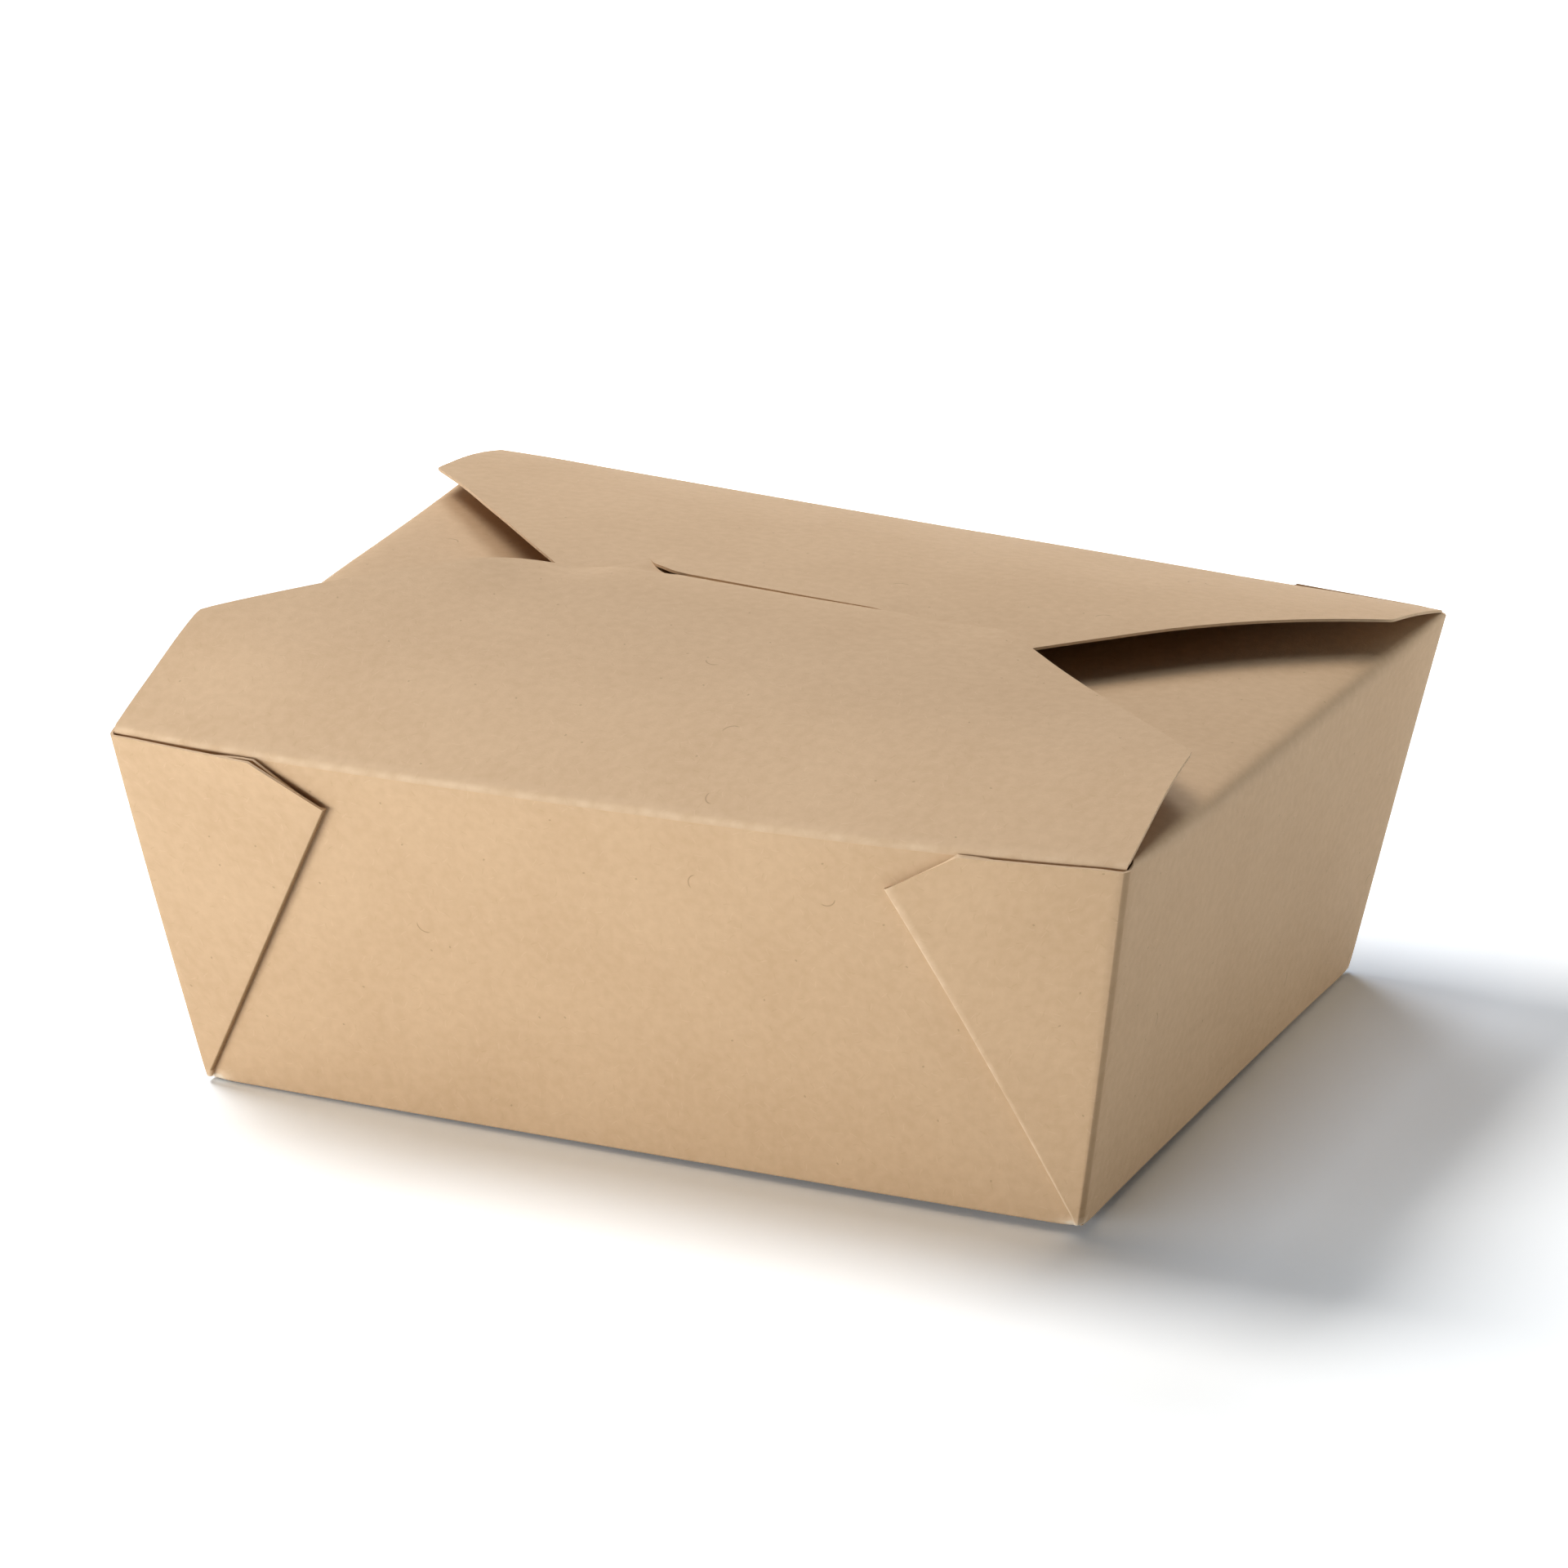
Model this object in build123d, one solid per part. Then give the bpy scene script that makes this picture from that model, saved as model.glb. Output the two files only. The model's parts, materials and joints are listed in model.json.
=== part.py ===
from build123d import *
import os
from math import atan2, cos, degrees, hypot, radians, sin

# A takeout carton folded from one die-cut sheet of kraft board, closed.
# Millimetres, +Z up. The origin is the middle of the underside, the front wall faces -Y.

# Sheet
board = 0.45                  # thickness of the board
ply_gap = 0.12                # air left between the glued plies of a web corner

# Tray, measured over the outside of its four walls
base_length = 152.0
base_width = 119.6
rim_length = 172.0
rim_width = 141.2
rim_height = 63.0
base_crease_radius = 0.9      # outside radius where the base turns up into the walls

# Web corners
web_fold_length = 63.0        # slanted crease, from the base corner to its upper end
web_top_length = 27.0         # level upper edge, from the corner of the rim
web_top_drop = 0.9            # upper edge of the plies below the rim
web_fold_radius = 0.4         # rounding of the slanted crease

# Front flap, with the tab
hinge_gap = 0.3               # clear space between the flap's root and the tray
front_wing_reach = 28.0       # from the rim fold to the wing corner
front_wing_rise = 9.2         # wing corner above the rim
front_wing_inset = 1.7
front_middle_rise = 10.7      # above the rim at mid width of the carton
notch_half = 41.4             # half distance between the crossings of the long flaps
front_shoulder_reach = -0.4   # shoulder edge beyond mid width
wing_corner_radius = 1.5
tab_half_width = 20.0
tab_bend_radius = 4.0         # where the tab dives through the slit
tab_bend_angle = 40.0
tab_length = 10.0             # straight part beyond the bend
tab_corner_radius = 5.0
tab_root_radius = 1.5

# Back flap, with the slit
back_wing_reach = 25.0
back_wing_rise = 5.8
back_wing_inset = 0.6
back_middle_rise = 9.6
back_lap = 9.0                # free edge in front of mid width, under the front flap
back_corner_radius = 8.0
slit_clearance = 0.35         # around the tab where it passes through
slit_end_radius = 10.0        # ends of the slit curl towards the back
slit_end_turn = 50.0
slit_end_width = 0.8

# Side flaps, tucked in under the long flaps
side_reach = 58.0
side_rise = 2.0               # crest of the gentle arch above the rim
side_fold_inset = 2.6         # fold ends before the rim corners
side_shoulder_reach = 10.0
side_shoulder_half = 62.0
side_end_half = 40.0
side_corner_radius = 12.0

# Worked out from the sizes above
front_run = (rim_width - base_width) / 2
end_run = (rim_length - base_length) / 2
front_slant = hypot(rim_height, front_run)
end_slant = hypot(rim_height, end_run)
ply_stack = 2 * (board + ply_gap)
fold_y = rim_width / 2 - board / 2
fold_x = rim_length / 2 - board / 2
cutter_reach = 2 * rim_height # upright cutters go this far past a flap

front_wall = Plane(
    origin=(0, -base_width / 2, 0),
    x_dir=(1, 0, 0),
    z_dir=(0, -rim_height, -front_run),
)


def slab(points, thickness, corners=()):
    """Flat plate on XY with the given outline; corners pairs outline points with radii."""
    face = make_face(Polyline(*points, close=True))
    for place, radius in corners:
        corner = face.vertices().sort_by_distance(Vector(*place))[0]
        face = fillet(corner, radius)
    return extrude(face, thickness)


def both_sides(half):
    """Outline points of the +X half, from the fold to the free edge, and their mirror."""
    return half + [(-x, y) for x, y in reversed(half)]


def trapezoid(bottom, top):
    """Upright face from the base to the rim, bottom wide below and top wide above."""
    half_low = (bottom / 2, 0)
    half_high = (top / 2, rim_height)
    return make_face(Polyline(*both_sides([half_low, half_high]), close=True))


def tray_shell():
    """Base and walls: front and end outlines crossed, creased and hollowed to the board."""
    front_view = extrude(Plane.XZ * trapezoid(base_length, rim_length), rim_width, both=True)
    end_view = extrude(Plane.YZ * trapezoid(base_width, rim_width), rim_length, both=True)
    block = front_view & end_view
    block = fillet(block.faces().sort_by(Axis.Z)[0].edges(), base_crease_radius)
    return offset(block, amount=-board, openings=block.faces().sort_by(Axis.Z)[-1], kind=Kind.ARC)


def web_corner():
    """Right web corner of the front wall.

    The end wall's board turns round the corner, lies on the front wall, folds back on
    itself at a slanted crease and returns underneath to the front wall's own edge.
    The crease halves the angle that is left over round the base corner in the flat sheet.
    """
    front_lean = degrees(atan2(end_run, front_slant))
    end_lean = degrees(atan2(front_run, end_slant))
    web_half_angle = (360 - 90 - (90 + front_lean) - (90 + end_lean)) / 2
    fold_lean = radians(web_half_angle - front_lean)

    tip = Vector(base_length / 2, 0)
    up_fold = Vector(-sin(fold_lean), cos(fold_lean))
    up_corner = Vector(end_run, front_slant) / hypot(end_run, front_slant)
    top = front_slant - web_top_drop
    corner_top = tip + up_corner * (top / up_corner.Y)
    chamfer_start = Vector(corner_top.X - web_top_length, top)
    fold_top = tip + up_fold * web_fold_length

    plies = slab([tip, corner_top, chamfer_start, fold_top], 2 * board + ply_gap)
    along_fold = plies.edges().filter_by(Axis((0, 0, 0), tuple(up_fold)))
    plies = fillet(along_fold, web_fold_radius)
    inside_fold = tip + Vector(cos(fold_lean), sin(fold_lean)) * board
    past_edges = 2 * web_fold_length
    above_corner = inside_fold + up_corner * past_edges
    above_fold = inside_fold + up_fold * past_edges
    between = slab([inside_fold, above_corner, above_fold], ply_gap)
    plies -= Pos(0, 0, board) * between

    across = Vector(board, 0)
    turn = slab([tip, corner_top, corner_top - across, tip - across], ply_stack)
    return front_wall * (Pos(0, 0, ply_gap) * plies + turn)


def curved_sheet(lines, width):
    """Board that follows lines, drawn inwards and up from a fold, and runs width along X."""
    return extrude(Plane.YZ * trace(lines, board), width / 2, both=True)


def long_flap_lines(wing_reach, wing_rise, middle_rise, span):
    """Arc of a long flap from its fold to span, fixed by its wing corner and mid width."""
    whole = ThreePointArc((0, 0), (wing_reach, wing_rise), (fold_y, middle_rise))
    centre = whole.arc_center

    def height(reach):
        return centre.Y + (whole.radius**2 - (reach - centre.X) ** 2) ** 0.5

    return ThreePointArc((0, 0), (span / 2, height(span / 2)), (span, height(span)))


def front_flap_lines():
    """Arc of the front flap, the bend of its tab and the tab's straight end."""
    bend_start = fold_y + front_shoulder_reach
    arched = long_flap_lines(front_wing_reach, front_wing_rise, front_middle_rise, bend_start)
    bend = JernArc(arched @ 1, arched % 1, tab_bend_radius, -tab_bend_angle)
    straight = Line(bend @ 1, (bend @ 1) + (bend % 1) * tab_length)
    return arched, bend, straight


def plan_cut(points, corners):
    """Upright prism over a flap's outline as seen from above."""
    return Pos(0, 0, -cutter_reach) * slab(points, 2 * cutter_reach, corners)


def crease(length):
    """Rounded bead of board along a fold, on the X axis."""
    return Rot(0, 90, 0) * Cylinder(board / 2, length)


def front_flap():
    """Front long flap with its tab, bent down where it passes through the slit."""
    arched, bend, straight = front_flap_lines()
    root_half = rim_length / 2 - board - hinge_gap
    sheet = curved_sheet(arched + bend + straight, 2 * root_half)

    bend_start = fold_y + front_shoulder_reach
    wing = (rim_length / 2 - front_wing_inset, front_wing_reach)
    narrowing = (wing[0] - notch_half) / (fold_y - wing[1])
    shoulder = (notch_half - narrowing * front_shoulder_reach, bend_start)
    tab_root = (tab_half_width, bend_start)
    tab_end = (tab_half_width, (straight @ 1).X)
    outline = both_sides([(root_half, 0), wing, shoulder, tab_root, tab_end])
    corners = []
    for side in (1, -1):
        corners.append(((side * wing[0], wing[1]), wing_corner_radius))
        corners.append(((side * tab_root[0], tab_root[1]), tab_root_radius))
        corners.append(((side * tab_end[0], tab_end[1]), tab_corner_radius))
    flap = (sheet & plan_cut(outline, corners)) + crease(2 * root_half)
    return Pos(0, -fold_y, rim_height) * flap


def slit():
    """Upright cut for the tab: it clears the bend, and its ends curl to the back fold."""
    _, bend, _ = front_flap_lines()
    fall = -(bend % 1).Y
    level = (bend % 1).X
    under_flap = back_middle_rise - board / 2 - (board / 2 + slit_clearance) / level
    start = front_shoulder_reach
    finish = (bend @ 1).X - fold_y + ((bend @ 1).Y - under_flap) * level / fall
    half = tab_half_width + slit_clearance + tab_root_radius
    middle = Pos(0, (start + finish) / 2) * Rectangle(2 * half, finish - start)
    curl = JernArc((half - slit_end_width, finish - slit_end_width / 2), (1, 0), slit_end_radius, slit_end_turn)
    end = trace(curl, slit_end_width)
    outline = middle + end + mirror(end, about=Plane.YZ)
    return Pos(0, 0, rim_height) * extrude(outline, cutter_reach)


def back_flap():
    """Back long flap with the slit, drawn from its fold at the origin towards +Y."""
    span = fold_y + back_lap
    lines = long_flap_lines(back_wing_reach, back_wing_rise, back_middle_rise, span)
    fold_half = rim_length / 2 - board
    sheet = curved_sheet(lines, 2 * fold_half)
    wing = (rim_length / 2 - back_wing_inset, back_wing_reach)
    narrowing = (wing[0] - notch_half) / (fold_y - wing[1])
    free = (notch_half - narrowing * back_lap, span)
    outline = both_sides([(fold_half, 0), wing, free])
    corners = []
    for side in (1, -1):
        corners.append(((side * wing[0], wing[1]), wing_corner_radius))
        corners.append(((side * free[0], free[1]), back_corner_radius))
    flap = (sheet & plan_cut(outline, corners)) + crease(2 * fold_half)
    return Pos(0, fold_y, rim_height) * mirror(flap, about=Plane.XZ)


def side_flap():
    """Right side flap, drawn from its fold towards -X under the long flaps."""
    lines = ThreePointArc((0, 0), (side_reach / 2, side_rise), (side_reach, 0))
    fold_half = rim_width / 2 - side_fold_inset
    sheet = curved_sheet(lines, 2 * fold_half)
    shoulder = (side_shoulder_half, side_shoulder_reach)
    end = (side_end_half, side_reach)
    outline = both_sides([(fold_half, 0), shoulder, end])
    corners = [((side * end[0], end[1]), side_corner_radius) for side in (1, -1)]
    flap = (sheet & plan_cut(outline, corners)) + crease(2 * fold_half)
    return Pos(fold_x, 0, rim_height) * Rot(0, 0, 90) * flap


def front_wall_relief():
    """Room over the front wall for the root of the front flap to turn in."""
    length = rim_length - 2 * board
    drop = board / 2 + hinge_gap
    deep = 2 * board + ply_stack
    return Pos(0, -rim_width / 2 + board - deep / 2 + hinge_gap, rim_height) * Box(length, deep, 2 * drop)


def carton():
    """Tray, web corners, side flaps and back flap: all of the sheet but the front flap."""
    right_front = web_corner()
    fronts = [right_front, mirror(right_front, about=Plane.YZ)]
    webs = fronts + [mirror(web, about=Plane.XZ) for web in fronts]
    right = side_flap()
    sides = [right, mirror(right, about=Plane.YZ)]
    below = Pos(0, 0, -rim_height / 2) * Box(2 * rim_length, 2 * rim_width, rim_height)
    tray = (tray_shell() - front_wall_relief()) + webs
    return (tray - below) + sides + (back_flap() - slit())


os.makedirs("parts", exist_ok=True)
for name, shape in (("carton", carton()), ("front_flap", front_flap())):
    export_step(shape, f"parts/{name}.step")
    box = shape.bounding_box()
    print(name, len(shape.solids()), "solid,", round(shape.volume), "cubic mm,", box.size)
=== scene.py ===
# %% [markdown]
# # A takeout carton folded from one sheet of kraft board
#
# The real carton is a single die-cut sheet: a base, four leaning walls, four web corners folded flat on the
# front and back walls, two side flaps tucked inside, and two long flaps locked by a tab in a slit.
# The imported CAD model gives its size, its place and its one moving fold. This lesson lays a thin, slightly
# bent sheet over that frame, and gives it the finish of kraft board, bare outside and coated inside.

import json
import math

import bmesh
import bpy
import numpy as np
from mathutils import Matrix, Vector


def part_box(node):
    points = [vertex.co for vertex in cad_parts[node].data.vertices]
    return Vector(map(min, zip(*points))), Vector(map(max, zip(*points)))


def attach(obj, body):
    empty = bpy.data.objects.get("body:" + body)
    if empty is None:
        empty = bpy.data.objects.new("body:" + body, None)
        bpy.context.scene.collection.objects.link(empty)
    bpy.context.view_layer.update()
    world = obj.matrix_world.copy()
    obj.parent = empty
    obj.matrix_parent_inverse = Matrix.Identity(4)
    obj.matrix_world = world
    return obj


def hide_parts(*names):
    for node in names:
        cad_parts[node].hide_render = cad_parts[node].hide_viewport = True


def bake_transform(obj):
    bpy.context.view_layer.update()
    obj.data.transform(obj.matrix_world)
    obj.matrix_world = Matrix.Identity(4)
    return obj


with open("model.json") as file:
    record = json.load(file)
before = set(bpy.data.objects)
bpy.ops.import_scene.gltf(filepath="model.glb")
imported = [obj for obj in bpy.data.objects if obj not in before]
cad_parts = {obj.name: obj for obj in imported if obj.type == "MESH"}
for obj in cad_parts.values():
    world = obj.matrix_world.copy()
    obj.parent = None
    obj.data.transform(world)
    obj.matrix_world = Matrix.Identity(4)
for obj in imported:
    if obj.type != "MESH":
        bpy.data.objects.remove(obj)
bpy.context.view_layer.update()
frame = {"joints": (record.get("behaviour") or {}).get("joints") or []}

# %% [markdown]
# ## Sizes
#
# Everything is drawn in millimetres and turned into metres when a mesh is made. The rim and the fold lines
# are read from the frame, so that the dressed sheet can't drift away from the CAD model. The rest are the
# sizes of the blank, repeated by name. A sheet is described by its middle surface, half a board inside its
# outer face.

# %% Sizes of the folded blank
MM = 0.001
flap_hinge = frame["joints"][0]
rim_z = flap_hinge["pos_m"][2] / MM
fold_y = -flap_hinge["pos_m"][1] / MM
rim_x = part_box("carton")[1].x / MM
board = 0.45
ply_gap = 0.12
fold_x = rim_x - board / 2
wall_run_x = 10.0
wall_run_y = 10.8
print(f"rim {2 * rim_x:.1f} mm long, folds {2 * fold_y:.1f} mm apart, {rim_z:.1f} mm up")

# %% [markdown]
# ## Camera
#
# The camera stands in front and to the right, about twenty degrees up, and far off with a long lens, which is
# why the carton's edges run almost parallel. Its place is worked out from the angles, the distance and the
# spot of the picture where the middle of the carton falls, so no shift of the lens is needed.

# %% Place the camera
picture_size = 1920
azimuth = math.radians(23.64)
elevation = math.radians(20.17)
roll = math.radians(0.37)
camera_distance = 1196.0
focal_pixels = 9019.0
aim_height = 32.5
aim_pixel = (967.8, 1028.1)

level_back = Vector((math.sin(azimuth), -math.cos(azimuth), 0))
back = math.cos(elevation) * level_back + Vector((0, 0, math.sin(elevation)))
level_right = Vector((math.cos(azimuth), math.sin(azimuth), 0))
level_up = back.cross(level_right)
right = math.cos(roll) * level_right + math.sin(roll) * level_up
up = math.cos(roll) * level_up - math.sin(roll) * level_right
per_pixel = camera_distance / focal_pixels
side_step = right * (aim_pixel[0] - picture_size / 2) * per_pixel
up_step = up * (aim_pixel[1] - picture_size / 2) * per_pixel
camera_place = Vector((0, 0, aim_height)) + back * camera_distance - side_step + up_step

camera = bpy.data.objects.new("camera", bpy.data.cameras.new("camera"))
bpy.context.scene.collection.objects.link(camera)
camera.data.sensor_width = 36
camera.data.lens = focal_pixels * camera.data.sensor_width / picture_size
turned = Matrix((right, up, back)).transposed().to_4x4()
camera.matrix_world = Matrix.Translation(camera_place * MM) @ turned
camera.data.clip_start = 0.05
camera.data.clip_end = 50
bpy.context.scene.camera = camera
print(f"lens {camera.data.lens:.0f} mm, camera at", [round(v) for v in camera_place])

# %% [markdown]
# ## How a real carton settles
#
# Board springs back, so a folded carton is never square. Its front fold bows outwards, two opposite rim
# corners stand higher than the other two, and the closed flaps lean a little to one side. One function moves
# points of space, and every part of the sheet goes through it. Edges that meet before still meet afterwards,
# which bending each panel by itself wouldn't give.

# %% How far the walls and the rim move
front_bow = 3.1
back_bow = 2.0
end_bow = 0.6
bow_growth = 1.5
front_foot_bow = 0.8
end_foot_bow = 1.0
fold_sag = 0.5
sag_from = 0.6
rim_twist = 1.95
base_twist = 0.7
back_left_rise = 1.36
back_rise_from = 0.3
back_rise_growth = 1.2
left_end_rise = 1.05
end_rise_from = 0.75
end_rise_fade = (-0.2, 0.5)
corner_pull = 1.0
corner_pull_radius = 25.0
base_corner = (76.0, 59.8)
corner_lift = 0.35
corner_lift_radius = 2.2
corner_lift_height = 4.0
wave_height = 0.12
wave_from = 8.0
wave_lengths = (19.0, 16.0, 21.0)
wave_starts = (1.1, 0.4, 0.7)
print(f"the front fold bows by {front_bow} mm and the rim twists by {rim_twist} mm")

# %% How far the closed flaps move
flap_free_height = 6.0
middle_lean = 0.040
right_lean_share = 0.7
lean_middle, lean_width = -12.0, 22.0
wing_curl = 1.32
curl_middle, curl_width = -45.0, 18.0
# Each sink: its place, its width along x and y, and its depth
wing_sinks = [(-84.0, -57.0, 15.0, 10.0, 0.6), (-86.0, 44.0, 18.0, 13.0, 0.9)]
notch_place = (-41.0, -3.0)
notch_radius = 10.0
notch_pull = 1.6
notch_drop = 0.5
print(f"the closed flaps lean by {math.degrees(math.atan(middle_lean)):.1f} degrees at most")


# %% Steps, humps and waves
def soft_step(value, low, high):
    """Smooth change from 0 below low to 1 above high: 3t^2 - 2t^3."""
    t = np.clip((value - low) / (high - low), 0, 1)
    return t * t * (3 - 2 * t)


def hump(value, middle, width):
    """Bell that is 1 at its middle: e to the power of minus the squared distance, counted in widths."""
    return np.exp(-(((value - middle) / width) ** 2))


def spot(x, y, place, radius):
    """Round hump about a place: the product of a hump along x and one along y."""
    return hump(x, place[0], radius) * hump(y, place[1], radius)


def ripple(x, y, z):
    """Waves from -1 to 1: the product of a sine along x, a sine along y and a cosine along z."""
    turns = [v / length + start for v, length, start in zip((x, y, z), wave_lengths, wave_starts)]
    return np.sin(turns[0]) * np.sin(turns[1]) * np.cos(turns[2])


print("a hump at 0, 1 and 2 widths:", np.round(hump(np.arange(3.0), 0, 1), 3))


# %% Settle points of space
def left_rise(across, forward):
    """Rise of the rim's back left corner and of its left end, towards the back.

    They are put together as a + b - ab / back_left_rise, so that the corner, which has both, stays smooth.
    """
    to_left = np.clip(-across, 0, 1)
    corner = back_left_rise * to_left**back_rise_growth * soft_step(-forward, back_rise_from, 1)
    end = left_end_rise * soft_step(to_left, end_rise_from, 1) * (1 - soft_step(forward, *end_rise_fade))
    return corner + end - corner * end / back_left_rise


def settle(points):
    """Bows, twists and leans points given in millimetres.

    The walls bow by one minus the fourth power of the distance along them, growing with height to the power
    bow_growth, and a little at their foot. The twist lifts by the product of the distances from both middle
    planes, and the whole is raised by base_twist to stay above the floor. Above the rim, the flaps lean
    sideways, most across the middle of the carton, their wings curl up or sink, and their edge is pulled in
    at the left notch. Low waves keep the flats from being dead flat.
    """
    x, y, z = np.moveaxis(np.asarray(points, float), -1, 0)
    across = np.clip(x / rim_x, -1, 1)
    forward = np.clip(-y / fold_y, -1.03, 1.03)
    height = np.clip(z / rim_z, 0, 1)
    low = (1 - height) ** 2
    grown = height**bow_growth
    above = soft_step(z, rim_z, rim_z + flap_free_height)
    full_x = 1 - across**4
    full_y = np.clip(1 - forward**4, 0, 1)

    end_move = (end_bow * grown - end_foot_bow * low) * full_y * across
    long_move = np.where(forward > 0, front_bow, back_bow) * full_x * grown * forward
    foot_move = front_foot_bow * full_x * low * np.clip(forward, 0, 1)
    wave = wave_height * height * ripple(x, y, z)
    at_back_right = spot(x, y, (rim_x, fold_y), corner_pull_radius) * height**3
    at_notch = spot(x, y, notch_place, notch_radius) * above
    at_foot = spot(np.abs(x), np.abs(y), base_corner, corner_lift_radius)
    nub = corner_lift * at_foot * (1 - soft_step(z, 0, corner_lift_height))

    twist = (base_twist + (rim_twist - base_twist) * height) * across * forward
    sag = fold_sag * full_x * soft_step(forward, sag_from, 1) * height**4
    rim_move = twist - sag + left_rise(across, forward) * grown + corner_pull / 2 * at_back_right
    lean = middle_lean * hump(y, lean_middle, lean_width) * np.where(x > 0, right_lean_share, 1) * x
    curl = wing_curl * across**2 * hump(y, curl_middle, curl_width)
    sunk = sum(
        depth * hump(x, at_x, wide) * hump(y, at_y, deep)
        for at_x, at_y, wide, deep, depth in wing_sinks
    )
    flap_move = (curl - lean - sunk) * above - notch_drop * at_notch

    moved_x = x + end_move + corner_pull * at_back_right + notch_pull * at_notch
    moved_y = y - long_move - foot_move + wave
    moved_z = z + base_twist + rim_move + flap_move + nub + wave * soft_step(z, wave_from, rim_z)
    return np.stack([moved_x, moved_y, moved_z], -1)


corners = np.array([[sx * rim_x, -sy * fold_y, rim_z] for sy in (1, -1) for sx in (-1, 1)])
print("rim corners moved by", np.round(settle(corners) - corners, 2).tolist())

# %% [markdown]
# ## Sheets from grids
#
# Each panel is a grid of points, row by row, so its faces are simply neighbouring points of the grid. Panels
# that share an edge are computed with the same points there and then joined. Two values ride along with each
# point. One is its place in the flat blank, which the finish uses so that fibres run on round a fold. The
# other is its fold mark: 0 on the flats, above 0 where a fold is painted pale, partly as rubbed wear and
# partly as a painted highlight, and below 0 where a fold is darkened with painted shade. Solidify then gives
# the sheet its thickness, with finishes of their own for the cut edges and the inside.

# %% Grids and patches
def grid_faces(rows, columns, keep):
    """Corner numbers of the cells of a grid of points, for the cells where keep is true."""
    first = np.arange(rows * columns).reshape(rows, columns)[:-1, :-1]
    cells = np.stack([first, first + 1, first + columns + 1, first + columns], -1)
    return cells[keep]


def patch(points, blank, fold, keep=None):
    """One panel: its points, their places in the flat blank, their fold marks and the kept cells."""
    rows, columns = points.shape[:2]
    keep = np.ones((rows - 1, columns - 1), bool) if keep is None else keep
    fold = np.broadcast_to(fold, (rows, columns))
    flat = np.concatenate([blank, np.zeros((rows, columns, 1))], -1)
    return points.reshape(-1, 3), flat.reshape(-1, 3), fold.reshape(-1), grid_faces(rows, columns, keep)


def join_patches(patches):
    """Puts patches one after the other, with the corner numbers of their faces counted on."""
    starts = np.cumsum([0] + [len(p[0]) for p in patches[:-1]])
    faces = [p[3] + start for p, start in zip(patches, starts)]
    points, blank, fold = (np.concatenate([p[i] for p in patches]) for i in range(3))
    return points, blank, fold, np.concatenate(faces)


print("a grid of 2 by 3 points has the faces", grid_faces(2, 3, np.ones((1, 2), bool)).tolist())

# %% Make a sheet of board
join_distance = 0.005
smooth_angle = math.radians(50)
edge_finish = 1
inside_finish = 2


def joined_mesh(name, patches):
    """Mesh of the settled points, with shared edges joined and all faces turned the same way."""
    points, blank, fold, faces = join_patches(patches)
    mesh = bpy.data.meshes.new(name)
    mesh.from_pydata(settle(points) * MM, [], faces)
    mesh.attributes.new("blank", "FLOAT_VECTOR", "POINT").data.foreach_set("vector", blank.ravel())
    mesh.attributes.new("fold", "FLOAT", "POINT").data.foreach_set("value", np.ascontiguousarray(fold))
    joined = bmesh.new()
    joined.from_mesh(mesh)
    loose = [v for v in joined.verts if not v.link_faces]
    bmesh.ops.delete(joined, geom=loose, context="VERTS")
    bmesh.ops.remove_doubles(joined, verts=joined.verts, dist=join_distance * MM)
    bmesh.ops.recalc_face_normals(joined, faces=joined.faces)
    joined.to_mesh(mesh)
    joined.free()
    return mesh


def make_sheet(name, patches, materials):
    """Joins the patches, gives the sheet the board's thickness and smooths its folds."""
    mesh = joined_mesh(name, patches)
    for material in materials:
        mesh.materials.append(material)
    drawn = bpy.data.objects.new(name + "_middle", mesh)
    bpy.context.scene.collection.objects.link(drawn)
    thick = drawn.modifiers.new("board", "SOLIDIFY")
    thick.thickness = board * MM
    thick.offset = 0
    thick.material_offset_rim = edge_finish
    thick.material_offset = inside_finish
    solid = bpy.data.meshes.new_from_object(drawn.evaluated_get(bpy.context.evaluated_depsgraph_get()))
    bpy.data.objects.remove(drawn)
    solid.name = name
    solid.shade_smooth()
    solid.set_sharp_from_angle(angle=smooth_angle)
    sheet = bpy.data.objects.new(name, solid)
    bpy.context.scene.collection.objects.link(sheet)
    print(f"{name}: {len(solid.vertices)} points, {len(solid.polygons)} faces")
    return sheet


# %% [markdown]
# ## Kraft board
#
# Bare kraft board is a matt warm tan, built up of long brown fibres. Close to, it is faintly cloudy, with
# small darker and lighter flecks, and here and there a curled fibre or a dark speck of bark. A picture of
# paper would do, but it tiles and stretches. Here the clouds are noise, and each fleck is a small stroke in
# its own cell of a Voronoi pattern, turned by the cell's random colour. All of it is drawn in the flat
# blank's own millimetres. The fold marks paint creases pale, partly as rubbed wear and partly as a painted
# highlight, bare the fibres at tips, and darken some folds with painted shade where they turn from the light.
# The inside has a coating, so it is a little darker and smoother.

# %% Node helpers
def node(tree, kind, settings=None, **inputs):
    """Adds a node. Settings are its properties; inputs are values or sockets, by name or by number as i0."""
    made = tree.nodes.new(kind)
    for key, value in (settings or {}).items():
        setattr(made, key, value)
    for key, value in inputs.items():
        by_number = key[0] == "i" and key[1:].isdigit()
        socket = made.inputs[int(key[1:])] if by_number else made.inputs[key.replace("_", " ")]
        if isinstance(value, bpy.types.NodeSocket):
            tree.links.new(value, socket)
        else:
            socket.default_value = value
    return made


def math_node(tree, operation, first, second=0.0):
    """One sum, with its result."""
    return node(tree, "ShaderNodeMath", {"operation": operation}, i0=first, i1=second).outputs[0]


def vector_node(tree, operation, first, second=(0, 0, 0)):
    """One sum of vectors, with its resulting vector."""
    return node(tree, "ShaderNodeVectorMath", {"operation": operation}, i0=first, i1=second).outputs[0]


def vector_length(tree, vector):
    """Length of a vector."""
    return node(tree, "ShaderNodeVectorMath", {"operation": "LENGTH"}, i0=vector).outputs["Value"]


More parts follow.
